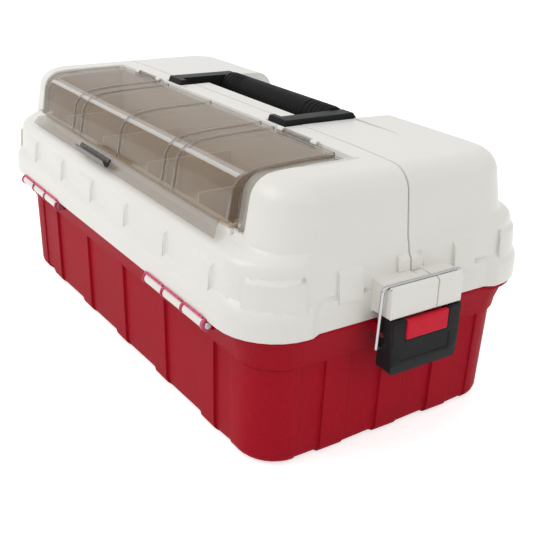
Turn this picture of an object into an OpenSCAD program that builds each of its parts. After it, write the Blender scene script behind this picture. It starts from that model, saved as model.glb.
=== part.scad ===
// Hip-roof fishing tackle box. A ribbed tub carries two lid halves that meet at a
// seam along the middle and open outwards on their long edges. Each half lifts a
// cantilever tray on link bars. The front half holds a divided bin under a clear
// bubble cover, the back half holds a fold-down handle, and each end has a draw latch.
// Millimetres. +Z is up, the front is -Y, the origin is the middle of the bottom.

/* [Box] */
// Length over the lid rim
box_l = 500; // [480:2:540]
// Depth over the lid rim
box_w = 276; // [272:2:296]
// Height of the closed box
box_h = 217.5; // [215:0.5:230]
// Height of the lower edge of the lid rim
rim_z = 111; // [110:0.5:114]
// Gap along the seam between the two lid halves
seam_gap = 0.4; // [0.3:0.1:1]
// Gap between a piece that moves and its neighbour
gap = 0.4; // [0.3:0.1:0.6]
// Radial clearance of a pin in its bore
run_fit = 0.06; // [0.03:0.01:0.1]

/* [Tub] */
// Distance of the tub's foot inside the rim at each end
foot_in_x = 14; // [12:0.5:16]
// Distance of the tub's foot inside the rim at each long side
foot_in_y = 19; // [17:0.5:21]
// Radius of the tub's upright corners
tub_r = 32; // [26:1:36]
// Widening of the tub on each side from foot to collar
tub_draft = 2; // [1:0.5:3]
// Rounding of the bottom edge
foot_round = 8; // [5:1:10]
// Height of the lower edge of the collar band
band_z = 84; // [80:1:88]
// Width of an upright rib
rib_w = 22; // [16:1:28]
// Spacing of the ribs along the long sides
rib_pitch = 80; // [74:1:84]
// Depth of the fields between the ribs
field_d = 2.4; // [1:0.2:3]
// Depth of the corner panels behind the ribs
corner_d = 1.2; // [0.6:0.2:1.8]
// Wall thickness of the tub at the ribs
tub_wall = 4.8; // [4.4:0.2:5.4]
// Thickness of the tub's floor
floor_t = 3; // [2:0.5:5]
// Thickness of the flange that the lid rim rests on
flange_t = 2.7; // [2:0.1:3.5]

/* [Lid] */
// Wall thickness of the lid
lid_wall = 3; // [2.4:0.2:3.6]
// Radius of the rim's corners in plan
rim_r = 46; // [40:1:50]
// Radius of the roof's upright corners
roof_r = 32; // [28:1:38]
// Rounding of the roof's upper edge
roof_round = 19; // [14:1:22]
// Crown of the roof above its rounded edge
crown = 1.2; // [0.4:0.2:2]
// Step of the rim between the corners at each end
end_step = 3.6; // [2:0.2:4.4]
// Width of a raised pad on the long sides
pad_w = 30; // [22:1:36]
// Spacing of the pads on the long sides
pad_pitch = 70; // [64:1:76]
// How far the pads stand out
pad_t = 3; // [1.5:0.5:4]

/* [Lid hinges] */
// Height of the hinge axis below the rim
hinge_drop = 3.5; // [3:0.1:4.2]
// Distance of the hinge axis inside the rim's face
hinge_in = 1; // [0.5:0.1:2]
// Radius of the hinge pins
pin_r = 1.5; // [1:0.1:1.8]
// Radius of the lid's barrels
barrel_r = 4.2; // [3.6:0.1:4.6]
// Radius of the tub's knuckles
knuckle_r = 5; // [4.4:0.1:5.4]
// Width of a knuckle
knuckle_w = 3; // [2.4:0.2:4]
// Spacing of the knuckles
knuckle_pitch = 31; // [26:1:33]
// Distance of the first knuckle from the middle
knuckle_x = 96; // [90:1:102]

/* [Bubble cover] */
// Length of the cover over its end flanges
cover_l = 392; // [380:1:396]
// Width of the flange at each end of the cover
cover_flange = 13.5; // [10:0.5:15]
// Wall thickness of the cover
cover_t = 2.2; // [1.6:0.1:2.6]
// Depth of the seat around the window
seat_d = 4.5; // [4.2:0.1:5.4]
// Radius of the cover's hinge barrels
cover_barrel_r = 2.6; // [2.2:0.1:2.8]
// Radius of the cover's hinge pins
cover_pin_r = 1.2; // [0.8:0.1:1.4]
// Length of each cover hinge
cover_hinge_l = 52; // [40:1:60]
// Distance of each cover hinge's middle from the middle
cover_hinge_x = 131; // [125:1:135]
// Length of the snap tab
tab_l = 62; // [40:1:80]

/* [Bin] */
// Height of the underside of the bin
bin_z = 150; // [148:1:156]
// Wall thickness of the bin
bin_wall = 2; // [1.4:0.2:2.6]
// Height of the tops of the dividers
divider_z = 185; // [180:1:195]

/* [Handle] */
// Half width of the handle's recess
recess_x = 103.4; // [100:0.5:110]
// Width of an arm
arm_w = 15.6; // [12:0.2:16]
// Length of the hook on the inner side of each arm
hook_l = 10; // [6:0.5:12]
// Radius of the hooked end about the pivot
hook_r = 21.4; // [19:0.2:22]
// Radius of the pivot pins
handle_pin_r = 3; // [2:0.2:4]
// Radius of the grip sleeve
grip_r = 13; // [11:0.5:14]
// Radius of the bar inside the grip
grip_bar_r = 7; // [5:0.5:8]
// Distance of the grip behind the pivot
grip_y = 42; // [38:1:48]

/* [Latches] */
// Width of the lever at its top
lever_w = 68; // [60:1:70]
// Height of the lever
lever_h = 44; // [38:1:46]
// Thickness of the lever's face and cheeks
lever_t = 3; // [2.4:0.2:3.4]
// Radius of the lever's pivot pin
lever_pin_r = 2; // [1.6:0.1:2.4]
// Width of the red button
button_w = 40; // [34:1:42]
// Travel of the button
button_travel = 2; // [1:0.5:2.5]
// How far the button stands out of the lever
button_out = 1.4; // [0.8:0.2:3]
// Radius of the bail wire
wire_r = 1.4; // [1.1:0.1:1.6]
// Height of the catch block
block_h = 22; // [20:0.5:24]
// Distance of the catch block's split from the seam
block_split = 9; // [6:0.5:12]

/* [Trays] */
// Distance between the pivots of a link bar
link_r = 55; // [52:1:56]
// Thickness of a link bar
link_t = 2; // [1.5:0.1:2.2]
// Width of a link bar
link_w = 12; // [10:0.5:14]
// Radius of the link pivots
link_pin_r = 2.5; // [2:0.1:3]
// Depth of a tray from front to back
tray_w = 92; // [84:1:93]
// Height of a tray
tray_h = 28; // [22:1:28]
// Wall thickness of a tray
tray_wall = 2; // [1.6:0.2:2.6]
// Compartments in the outer row of a tray
tray_cells = 6; // [3:1:8]

/* [Hidden] */
$fn = 48;
corner_n = 8;        // facets in a quarter turn of a lofted corner
far = 400;           // reach of a cutting block
half_l = box_l / 2;
half_w = box_w / 2;

// Tub
tub_top = rim_z - 0.3;               // upper face of the flange, just under the lid rim
flange_z = tub_top - flange_t;
flange_y = half_w - 6.5;             // flange stops short of the hinges on the long sides
step_y0 = 80;                        // end step of rim and flange starts here
step_y1 = 88;                        // and is complete here
end_rib_y = 54;                      // ribs at the ends beside the middle one

// Lid
lid_h = box_h - rim_z;
skirt_z = rim_z + 0.24 * lid_h;      // foot of the skirt
ledge_z = rim_z + 0.48 * lid_h;      // outer edge of the shoulder ledge
wall_z = rim_z + 0.564 * lid_h;      // foot of the roof's wall
roof_in_x = 10.1;                    // roof's wall inside the rim at the ends
roof_in_y = 24.5;                    // roof's wall inside the rim at the long sides
roof_lean = 4;                       // further lean of that wall up to the rounded edge
pad_in = 2.2;                        // foot of the pads inside the rim
arc_z = box_h - crown - roof_round;  // centre height of the rounded edge
crown_y = 55;                        // half depth of the flat middle of the roof
crown_x = 175;                       // half length of the flat middle of the roof

// Hinges
hinge_y = half_w - hinge_in;
hinge_z = rim_z - hinge_drop;
knuckles = [for (s = [-1, 1], i = [0 : 3]) s * (knuckle_x + i * knuckle_pitch)];
barrels = [for (s = [-1, 1], i = [0 : 2]) s * (knuckle_x + (i + 0.5) * knuckle_pitch)];
barrel_l = knuckle_pitch - knuckle_w - 2 * gap;

// Window, cover and bin
window_x = cover_l / 2 - cover_flange - 1;
window_y0 = -(half_w - 25.4);        // front edge of the window
window_y1 = -28.4;                   // back edge of the window
seat_x = cover_l / 2 + 1;
seat_y = -19.4;                      // back edge of the seat
seat_t = 2.5;                        // wall under the seat
sill_z = wall_z + 3;                 // top of the sill that carries the bin
sill_w = 3.4;
cover_axis = [-22.5, box_h - 0.5];   // y and z of the cover's hinge
foot_y = -(half_w - 20.5);           // foot of the bubble's front wall
foot_z = wall_z + 7;
knuckle_end = 7;                     // width of the lid's knuckles on the cover hinge
cover_ribs = [-101, -82, 0, 82, 101];
tab_x = -29;                         // middle of the snap tab
bin_dividers = [-131, -44, 44, 131];
bin_x = window_x - gap;

// Handle
handle_axis = [6, box_h - 4];        // y and z of the handle's pivots
arm_x = recess_x - 1.4 - arm_w;      // inner side of an arm
pocket_r = hook_r + 0.6;
pocket_t = 2.4;
hook_x = arm_x - hook_l;
pocket_x = hook_x - 1;
panel_y = 16;                        // the roof runs on between the arms to here
recess_z = box_h - 25;               // floor of the recess below the grip
recess_fall = 4;                     // fall of that floor to the back
grip_axis = [handle_axis[0] + grip_y, handle_axis[1] - 2.5];
arm_top = box_h + 4.5;
grip_l = 2 * arm_x - 1;

// Latches: places are measured in x and z at the right end
block_face = half_l + 17;            // outer face of the catch block
lever_face = half_l + 19;            // outer face of the lever
lever_top = rim_z + 6.7;
cheek_x = half_l + 7.5;              // back edge of the lever's cheeks
lever_axis = [half_l + 8.5, rim_z - 7];
bail_axis = [half_l + 8, rim_z - 17];
cheek_y = lever_w / 2;
leg_y = cheek_y + 3.5;
block_z = rim_z + 7.5;
groove_z = block_z + block_h - 0.5;  // floor of the groove for the wire
wire_bar = [half_l + 10, groove_z + 0.3 + wire_r];
ear_y0 = button_w / 2 + 4;           // hinge ears on the tub, between the cheeks
ear_y1 = cheek_y - lever_t - gap;
ear_r = 4.5;

// Trays: y and z of the front pair, from the front hinge
link_a = 12;
link_v = link_r * [cos(link_a), sin(link_a)];
lid_pivot = [-hinge_y, hinge_z] + link_v;
tray_pivot = [-hinge_y + 103.5, hinge_z - 15.5];
tub_pivot = tray_pivot - link_v;
tray_y1 = -4;
tray_y0 = tray_y1 - tray_w;
tray_z = tub_top - tray_h - 0.7;
inner_x = half_l - foot_in_x + tub_draft - tub_wall;   // tub's inside at the collar
link_x = inner_x - 1.2 - link_t;                        // inner face of a link bar
tray_x = link_x - 1.5;                                  // half length of a tray
tray_r = 5;                                             // radius of a tray's corners
ear_top = lid_pivot[1] + 6;

// ---- shared shapes -------------------------------------------------------------

// One closed ring of points: a rectangle with round corners, hx by hy
function corner(cx, cy, r, a0) = [for (i = [0 : corner_n]) let (a = a0 + 90 * i / corner_n)
    [cx + r * cos(a), cy + r * sin(a)]];
function ring(z, hx, hy, r) =
    [for (p = concat(corner(hx - r, hy - r, r, 0), corner(r - hx, hy - r, r, 90),
                     corner(r - hx, r - hy, r, 180), corner(hx - r, r - hy, r, 270)))
        [p[0], p[1], z]];

// A skin over rings, given as [z, inset at the ends, inset at the sides, corner radius]
module loft(rings) {
    points = [for (g = rings) each ring(g[0], half_l - g[1], half_w - g[2], g[3])];
    m = len(rings);
    n = 4 * (corner_n + 1);
    sides = [for (k = [0 : m - 2], i = [0 : n - 1]) let (j = (i + 1) % n, u = k * n, v = u + n)
                each [[u + i, v + i, v + j], [u + i, v + j, u + j]]];
    bottom = [for (i = [0 : n - 1]) i];
    top = [for (i = [n - 1 : -1 : 0]) (m - 1) * n + i];
    polyhedron(points, concat([bottom, top], sides));
}

// Sets the middle of both ends back by end_step, for a rim d inside the lid's
module end_step_cut(d, z0, z1) {
    slope = (step_y1 - step_y0) / end_step;
    both_ends() translate([half_l - end_step - d, 0, z0]) linear_extrude(z1 - z0)
        polygon([[0, -step_y0], [0, step_y0], [2 * end_step, step_y0 + 2 * end_step * slope],
                 [2 * end_step, -step_y0 - 2 * end_step * slope]]);
}

// Extrudes a shape drawn in y and z from x0 to x1
module along_x(x0, x1) {
    translate([x0, 0, 0]) rotate([90, 0, 90]) linear_extrude(x1 - x0) children();
}

// The same shape at both ends of the box
module both_ends() {
    children();
    mirror([1, 0, 0]) children();
}

// A round bar along x, at p in y and z
module bar(p, r, x0, x1) {
    translate([x0, p[0], p[1]]) rotate([0, 90, 0]) cylinder(r = r, h = x1 - x0);
}

// A round bar along y, at p in x and z
module bar_y(p, r, y0, y1) {
    translate([p[0], y0, p[1]]) rotate([-90, 0, 0]) cylinder(r = r, h = y1 - y0);
}

// A block between two corners
module block(a, b) {
    translate(a) cube(b - a);
}

// The same with round upright corners
module round_block(a, b, r) {
    block([a[0] + r, a[1], a[2]], [b[0] - r, b[1], b[2]]);
    block([a[0], a[1] + r, a[2]], [b[0], b[1] - r, b[2]]);
    for (x = [a[0] + r, b[0] - r], y = [a[1] + r, b[1] - r])
        translate([x, y, a[2]]) cylinder(r = r, h = b[2] - a[2]);
}

// ---- tub -----------------------------------------------------------------------

// The tub's skin, d inside its outermost surface
function tub_rings(d, z0, z1) =
    concat([for (a = [0 : 30 : 90])
               [z0 + foot_round * (1 - cos(a)),
                foot_in_x + d + foot_round * (1 - sin(a)),
                foot_in_y + d + foot_round * (1 - sin(a)),
                tub_r - d - foot_round * (1 - sin(a)) * 0.6]],
           [[z1, foot_in_x - tub_draft + d, foot_in_y - tub_draft + d, tub_r - d]]);

// Flared collar and flange below the lid rim
module collar() {
    loft([[band_z, foot_in_x - tub_draft - 0.8, foot_in_y - tub_draft - 0.8, tub_r],
          [band_z + 7, foot_in_x - tub_draft - 1.8, foot_in_y - tub_draft - 2, tub_r + 1],
          [flange_z + 0.5, end_step + 1.6, 8.5, rim_r - 8]]);
    difference() {
        loft([[flange_z, 1, 6.5, rim_r - 6], [tub_top, 1, 6.5, rim_r - 6]]);
        end_step_cut(1, flange_z - 1, tub_top + 1);
    }
}

// Where the tub keeps its full thickness: upright ribs and the band above them
module rib_zone() {
    for (x = [-2 : 2])
        block([x * rib_pitch - rib_w / 2, -far, -1], [x * rib_pitch + rib_w / 2, far, band_z + 2]);
    for (y = [-end_rib_y, 0, end_rib_y])
        block([-far, y - rib_w / 2, -1], [far, y + rib_w / 2, band_z + 2]);
    block([-far, -far, band_z - 2], [far, far, band_z + 2]);
}

// Corner panels of middle thickness
module corner_zone() {
    for (sx = [-1, 1], sy = [-1, 1])
        scale([sx, sy, 1])
            block([half_l - 57, half_w - 51, -1], [far, far, band_z + 2]);
}

// Hinge knuckles along one long side
module tub_knuckles() {
    for (x = knuckles) {
        bar([-hinge_y, hinge_z], knuckle_r, x - knuckle_w / 2, x + knuckle_w / 2);
        block([x - knuckle_w / 2, -hinge_y, hinge_z - knuckle_r],
              [x + knuckle_w / 2, -flange_y + 2, flange_z + 1]);
    }
}

// Hinge ears for one latch
module latch_ears() {
    for (s = [-1, 1]) {
        y0 = s > 0 ? ear_y0 : -ear_y1;
        bar_y(lever_axis, ear_r, y0, y0 + ear_y1 - ear_y0);
        block([half_l - foot_in_x + 1, y0, lever_axis[1] - ear_r],
              [lever_axis[0], y0 + ear_y1 - ear_y0, lever_axis[1] + ear_r - 0.5]);
    }
}

module base_tub() {
    color([0.62, 0.08, 0.14])
    difference() {
        union() {
            loft(tub_rings(field_d, 0, band_z + 1));
            intersection() {
                loft(tub_rings(0, 0, band_z + 1));
                rib_zone();
            }
            intersection() {
                loft(tub_rings(corner_d, 0, band_z + 1));
                corner_zone();
            }
            collar();
            tub_knuckles();
            mirror([0, 1, 0]) tub_knuckles();
            both_ends() latch_ears();
        }
        loft(concat(tub_rings(tub_wall, floor_t, band_z),
                    [[flange_z, 9, 11.5, rim_r - 10], [tub_top + 1, 9, 11.5, rim_r - 10]]));
        for (s = [-1, 1])
            bar([s * hinge_y, hinge_z], pin_r + run_fit, -far, far);
        both_ends() {
            for (s = [-1, 1])
                bar([s * tub_pivot[0], tub_pivot[1]], link_pin_r + run_fit,
                    inner_x - 1, inner_x + 2.2);
            bar_y(lever_axis, lever_pin_r + run_fit, -far, far);
        }
    }
}

module hinge_pins(side) {
    end = 3 * knuckle_pitch + knuckle_w / 2 + 0.6;
    color("silver")
    both_ends() bar([side * hinge_y, hinge_z], pin_r, knuckle_x - knuckle_w / 2 - 0.6,
                    knuckle_x + end);
}

// ---- lid halves ----------------------------------------------------------------

function lid_outside() = concat(
    [[rim_z, 0, 0, rim_r],
     [rim_z + 14, 0, 0, rim_r],
     [rim_z + 19, 1, 1, rim_r - 1],
     [rim_z + 23, 3.2, 3.2, rim_r - 2],
     [skirt_z, 5.5, 5.6, rim_r - 3],
     [ledge_z - 4, 7.2, 6.4, rim_r - 4],
     [ledge_z, 8.1, 8, rim_r - 5],
     [ledge_z + 2.5, 9, 11, rim_r - 6],
     [wall_z - 2.5, 9.8, 21, roof_r + 3],
     [wall_z, roof_in_x, roof_in_y, roof_r + 1]],
    [for (a = [0 : 15 : 90]) let (d = roof_lean - 1 + roof_round * (1 - cos(a)))
        [arc_z + roof_round * sin(a), roof_in_x + d, roof_in_y + d + 1,
         roof_r - 0.7 * roof_round * (1 - cos(a))]],
    [[box_h, half_l - crown_x, half_w - crown_y, 12]]);

function lid_inside(t) = concat(
    [[rim_z - 1, t + end_step, t, rim_r - t - end_step],
     [rim_z + 15, t + end_step, t, rim_r - t - end_step],
     [rim_z + 21.5, t + end_step + 0.4, t + 3, rim_r - t - 4],
     [skirt_z - 1.5, t + 5.5, t + 5.6, rim_r - t - 5],
     [ledge_z - 4.5, t + 7.2, t + 6.4, rim_r - t - 6],
     [ledge_z - 1, t + 8.5, t + 8.5, rim_r - t - 7],
     [wall_z - 5, t + 9.5, t + 19.5, roof_r - t + 3],
     [wall_z, t + roof_in_x, t + roof_in_y, roof_r - t + 1]],
    [for (a = [0 : 30 : 90]) let (d = roof_lean - 1 + (roof_round - t) * (1 - cos(a)))
        [arc_z + (roof_round - t) * sin(a), t + roof_in_x + d, t + roof_in_y + d + 1,
         roof_r - t - 0.7 * (roof_round - t) * (1 - cos(a))]]);

// The roof's outline in y and z on the front half, d below its surface, from the foot
// of the wall to the middle
function roof_line(d, y_end) =
    let (wall_y = -(half_w - roof_in_y - d), arc_y = wall_y + roof_lean + roof_round - d)
    concat([[wall_y, wall_z], [wall_y + 0.6, wall_z + 6]],
           [for (a = [0 : 15 : 90])
               [arc_y - (roof_round - d) * cos(a), arc_z + (roof_round - d) * sin(a)]],
           [[-crown_y, box_h - d], [y_end, box_h - d]]);

// The band between two roof outlines
module roof_band(d0, d1, y_end) {
    inner = roof_line(d1, y_end);
    n = len(inner);
    polygon(concat(roof_line(d0, y_end), [for (i = [0 : n - 1]) inner[n - 1 - i]]));
}

// Raised pads round the skirt, on one long side and half of each end
module pads() {
    intersection() {
        loft([[rim_z + 20, pad_in, pad_in, rim_r],
              [skirt_z + 15, 7.1 - pad_t, 6.6 - pad_t, rim_r - 2],
              [skirt_z + 22, 9.7, 9.2, rim_r - 4]]);
        union() {
            for (i = [-2.5 : 2.5])
                translate([i * pad_pitch, -half_w, 0]) linear_extrude(box_h)
                    polygon([[-pad_w / 2 + 2.5, 0], [pad_w / 2 - 2.5, 0],
                             [pad_w / 2 - 2.5, 6.2 - pad_t], [pad_w / 2, 6.2], [pad_w / 2, 9],
                             [-pad_w / 2, 9], [-pad_w / 2, 6.2], [-pad_w / 2 + 2.5, 6.2 - pad_t]]);
            both_ends() {
                linear_extrude(box_h)
                    polygon([[half_l - 27, -half_w], [half_l - 28, -half_w + 12],
                             [half_l - 12, -half_w + 45], [half_l, -half_w + 46], [half_l, -half_w]]);
                for (y = [-65, -11.6])
                    block([half_l - 9, y, 0], [half_l, y < -20 ? -44 : 0, box_h]);
            }
        }
    }
}

// Barrels along the edge of one lid half
module lid_barrels() {
    for (x = barrels) {
        bar([-hinge_y, hinge_z], barrel_r, x - barrel_l / 2, x + barrel_l / 2);
        block([x - barrel_l / 2, -half_w + 0.2, hinge_z], [x + barrel_l / 2, -half_w + lid_wall, rim_z + 2]);
    }
}

// Room for the tub's knuckles and bores for the pins
module lid_hinge_cut() {
    for (x = knuckles)
        bar([-hinge_y, hinge_z], knuckle_r + gap, x - knuckle_w / 2 - gap, x + knuckle_w / 2 + gap);
    bar([-hinge_y, hinge_z], pin_r + run_fit, -far, far);
}

// Bosses that reach in from the lid's end walls to the tray's ears
module lid_bosses() {
    both_ends() bar(lid_pivot, link_pin_r + 2.5, tray_x + 0.7, half_l - end_step - 1);
}

// Share of a catch block between y0 and y1, with the groove for the wire
module catch_block(y0, y1, x0) {
    difference() {
        block([x0, y0, block_z], [block_face, y1, block_z + block_h + 3]);
        translate([0, y0 - 1, 0]) rotate([90, 0, 0]) mirror([0, 0, 1])
            linear_extrude(y1 - y0 + 2)
                polygon([[wire_bar[0] - wire_r - 0.6, far], [wire_bar[0] - wire_r - 0.6, groove_z],
                         [wire_bar[0] + wire_r + 0.6, groove_z],
                         [wire_bar[0] + wire_r + 1.2, groove_z + 2.6],
                         [wire_bar[0] + wire_r + 3.4, groove_z + 2.8],
                         [block_face + 1, groove_z], [block_face + 1, far]]);
        translate([0, y0 - 1, 0]) rotate([90, 0, 0]) mirror([0, 0, 1])
            linear_extrude(y1 - y0 + 2)
                polygon([[half_l - 12, block_z + block_h + 3.1], [wire_bar[0] - wire_r, groove_z + 2],
                         [wire_bar[0] - wire_r, far], [half_l - 12, far]]);
    }
}

// One half of the bare lid shell; the front half lies at -y
module lid_shell() {
    difference() {
        intersection() {
            union() {
                difference() {
                    loft(lid_outside());
                    end_step_cut(0, rim_z - 1, skirt_z);
                }
                pads();
            }
            block([-far, -far, 0], [far, -seam_gap / 2, far]);
        }
        loft(lid_inside(lid_wall));
    }
    lid_barrels();
    lid_bosses();
}

// Pocket for the hooked ends of the handle's arms: its outside, then its hollow
module pocket_body() {
    both_ends() bar(handle_axis, pocket_r + pocket_t, pocket_x - pocket_t, recess_x + pocket_t);
}
module pocket_cut() {
    both_ends() bar(handle_axis, pocket_r, pocket_x, recess_x);
}

// Seat for the cover round the window, in place of the roof's skin
module window_seat() {
    along_x(-seat_x - seat_t, seat_x + seat_t) roof_band(seat_d, seat_d + seat_t, seat_y + seat_t);
    both_ends() along_x(seat_x, seat_x + seat_t) roof_band(0.3, seat_d + 1, seat_y + seat_t);
    along_x(-seat_x - seat_t, seat_x + seat_t)
        polygon([[seat_y, box_h - seat_d - seat_t], [seat_y + seat_t, box_h - seat_d - seat_t],
                 [seat_y + seat_t, box_h - 0.3], [seat_y, box_h - 0.3]]);
    block([-window_x - 3, window_y0 - sill_w, wall_z - 4], [window_x + 3, window_y0, sill_z]);
}

module lid_front() {
    color([0.93, 0.92, 0.88])
    difference() {
        union() {
            difference() {
                lid_shell();
                along_x(-seat_x, seat_x)
                    polygon(concat([[-far, sill_z], [-(half_w - roof_in_y - seat_d), sill_z]],
                                   [for (p = roof_line(seat_d, seat_y)) if (p[1] > sill_z) p],
                                   [[seat_y, far], [-far, far]]));
            }
            window_seat();
            intersection() {
                pocket_body();
                block([-far, -far, 0], [far, -seam_gap / 2, box_h - 0.5]);
            }
            both_ends() {
                catch_block(-cheek_y, -seam_gap / 2, half_l - 8);
                catch_block(-cheek_y, block_split, half_l - pad_in + gap);
                for (s = [-1, 1])
                    translate([cover_hinge_x + s * (cover_hinge_l - knuckle_end) / 2, 0, 0]) {
                        bar(cover_axis, cover_barrel_r, -knuckle_end / 2, knuckle_end / 2);
                        block([-knuckle_end / 2, cover_axis[0] - cover_barrel_r, box_h - seat_d - 1],
                              [knuckle_end / 2, cover_axis[0] + cover_barrel_r, cover_axis[1]]);
                    }
            }
        }
        block([-window_x, window_y0, wall_z - 8], [window_x, window_y1, far]);
        pocket_cut();
        lid_hinge_cut();
        both_ends() {
            bar(lid_pivot, link_pin_r + run_fit, tray_x, tray_x + 8);
            bar(cover_axis, cover_pin_r + run_fit, cover_hinge_x - cover_hinge_l / 2 - 1,
                cover_hinge_x + cover_hinge_l / 2 + 1);
        }
    }
}

// Recess behind the handle, in y and z: floor line from the roof down to the back
recess_line = [[panel_y, box_h], [panel_y + 4, box_h - 4], [panel_y + 14, recess_z + 5],
               [panel_y + 20, recess_z], [half_w, recess_z - recess_fall]];

// Body around the recess, kept just inside the roof's surface
module recess_body() {
    t = pocket_t;
    wall = [for (p = roof_line(0.3, 0)) if (p[1] > recess_z - recess_fall - t) [-p[0], p[1]]];
    floor = [[half_w - roof_in_y - 2, recess_z - recess_fall - t], [panel_y + 18, recess_z - t],
             [panel_y + 11, recess_z + 5 - t], [panel_y - 2, box_h - 6]];
    along_x(-recess_x - t, recess_x + t)
        polygon(concat(floor, [[panel_y - 2, box_h - 0.3]],
                       [for (i = [len(wall) - 1 : -1 : 0]) if (wall[i][0] > panel_y) wall[i]]));
    both_ends() along_x(pocket_x - t, recess_x + t)
        polygon([[seam_gap / 2, recess_z - t - 1], [panel_y + 20, recess_z - t],
                 [panel_y + 20, box_h - 0.5], [seam_gap / 2, box_h - 0.5]]);
}

module recess_cut() {
    along_x(-recess_x, recess_x)
        polygon(concat(recess_line, [[half_w, far], [panel_y, far]]));
    both_ends() along_x(pocket_x, recess_x)
        polygon([[handle_axis[0], recess_z - 0.8], [panel_y + 20, recess_z - 0.8], [panel_y + 20, far],
                 [handle_axis[0], far]]);
    both_ends() along_x(pocket_x, recess_x)
        polygon([[-1, handle_axis[1]], [handle_axis[0] + 1, handle_axis[1]],
                 [handle_axis[0] + 1, far], [-1, far]]);
}

module lid_back() {
    color([0.93, 0.92, 0.88])
    difference() {
        union() {
            mirror([0, 1, 0]) lid_shell();
            recess_body();
            intersection() {
                pocket_body();
                block([-far, seam_gap / 2, 0], [far, handle_axis[0] + 1, box_h - 0.5]);
            }
            both_ends() catch_block(block_split + seam_gap, cheek_y, half_l - 8);
        }
        recess_cut();
        pocket_cut();
        mirror([0, 1, 0]) lid_hinge_cut();
        both_ends() {
            bar([-lid_pivot[0], lid_pivot[1]], link_pin_r + run_fit, tray_x, tray_x + 8);
            bar(handle_axis, handle_pin_r + run_fit, recess_x - 1, recess_x + pocket_t);
        }
    }
}

// ---- bubble cover and bin ------------------------------------------------------

// The bubble's outline in y and z, d inside its outer surface
function bubble_line(d) = [
    [foot_y + d, foot_z - 0.4], [foot_y + 4 + d, box_h - 15], [foot_y + 7.5 + 0.8 * d, box_h - 9 - 0.6 * d],
    [foot_y + 13.5 + 0.5 * d, box_h - 5 - 0.85 * d], [foot_y + 22.5 + 0.2 * d, box_h - 2.5 - d],
    [foot_y + 40, box_h - 1 - d], [foot_y + 57.5, box_h - 0.5 - d],
    [cover_axis[0] - 2.8, box_h + 0.1 - d]];

module bubble_band(d0, d1) {
    inner = bubble_line(d1);
    n = len(inner);
    polygon(concat(bubble_line(d0), [for (i = [0 : n - 1]) inner[n - 1 - i]]));
}

// Fold along the front of the cover, with its lip
module cover_apron(y_in) {
    polygon([[y_in, foot_z], [foot_y, foot_z], [foot_y - 6.5, foot_z - 2.5], [foot_y - 10.5, foot_z - 9.5],
             [foot_y - 8.3, foot_z - 9.9], [foot_y - 4.8, foot_z - 4.3], [foot_y + 0.6, foot_z - cover_t],
             [y_in, foot_z - cover_t]]);
}

module bubble_cover() {
    end_x = cover_l / 2;
    wall_x = end_x - cover_flange;
    color([0.35, 0.3, 0.27, 0.5])
    difference() {
        union() {
            along_x(-wall_x, wall_x) bubble_band(0, cover_t);
            along_x(-wall_x, wall_x) cover_apron(foot_y + cover_t);
            for (x = cover_ribs)
                along_x(x - 1.5, x + 1.5) bubble_band(-1, 0.5);
            both_ends() {
                along_x(wall_x - cover_t, end_x) cover_apron(-(half_w - roof_in_y - seat_d) - gap);
                along_x(wall_x - cover_t, end_x)
                    difference() {
                        roof_band(seat_d - gap - cover_t, seat_d - gap, cover_axis[0] - 2.8);
                        translate([-far, 0]) square([far + cover_axis[0] - 2.8, foot_z - cover_t]);
                    }
                along_x(wall_x - cover_t, wall_x)
                    difference() {
                        polygon(concat(bubble_line(0), [[cover_axis[0] - 2.8, foot_z - cover_t],
                                                        [foot_y + 1, foot_z - cover_t]]));
                        polygon(concat([for (p = roof_line(seat_d - gap, cover_axis[0]))
                                            if (p[1] > wall_z + 1) p],
                                       [[cover_axis[0], 0], [-(half_w - roof_in_y - seat_d) - gap, 0]]));
                    }
                translate([cover_hinge_x, 0, 0]) {
                    l = cover_hinge_l / 2 - knuckle_end - gap;
                    bar(cover_axis, cover_barrel_r, -l, l);
                    block([-l, cover_axis[0] - 6, box_h - 2.1], [l, cover_axis[0], box_h + 0.1]);
                }
            }
        }
        both_ends() {
            bar(cover_axis, cover_pin_r + run_fit,
                cover_hinge_x - cover_hinge_l, cover_hinge_x + cover_hinge_l);
            translate([end_x, foot_y - 12, 0]) rotate([0, 0, 45])
                block([-9, -far, 0], [9, far, foot_z + 0.5]);
        }
    }
}

// Snap tab on the cover's lip
module cover_tab() {
    color([0.3, 0.26, 0.23])
    translate([tab_x, 0, 0]) along_x(-tab_l / 2, tab_l / 2)
        polygon([[foot_y - 6.6, foot_z - 1.5], [foot_y - 10.4, foot_z - 7.5], [foot_y - 13.4, foot_z - 6],
                 [foot_y - 15, foot_z - 1], [foot_y - 13.8, foot_z - 0.6], [foot_y - 12.2, foot_z - 4],
                 [foot_y - 11, foot_z - 4.5], [foot_y - 8, foot_z + 0.4]]);
}

module cover_pins() {
    color("silver")
    both_ends() bar(cover_axis, cover_pin_r, cover_hinge_x - cover_hinge_l / 2,
                    cover_hinge_x + cover_hinge_l / 2);
}

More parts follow.
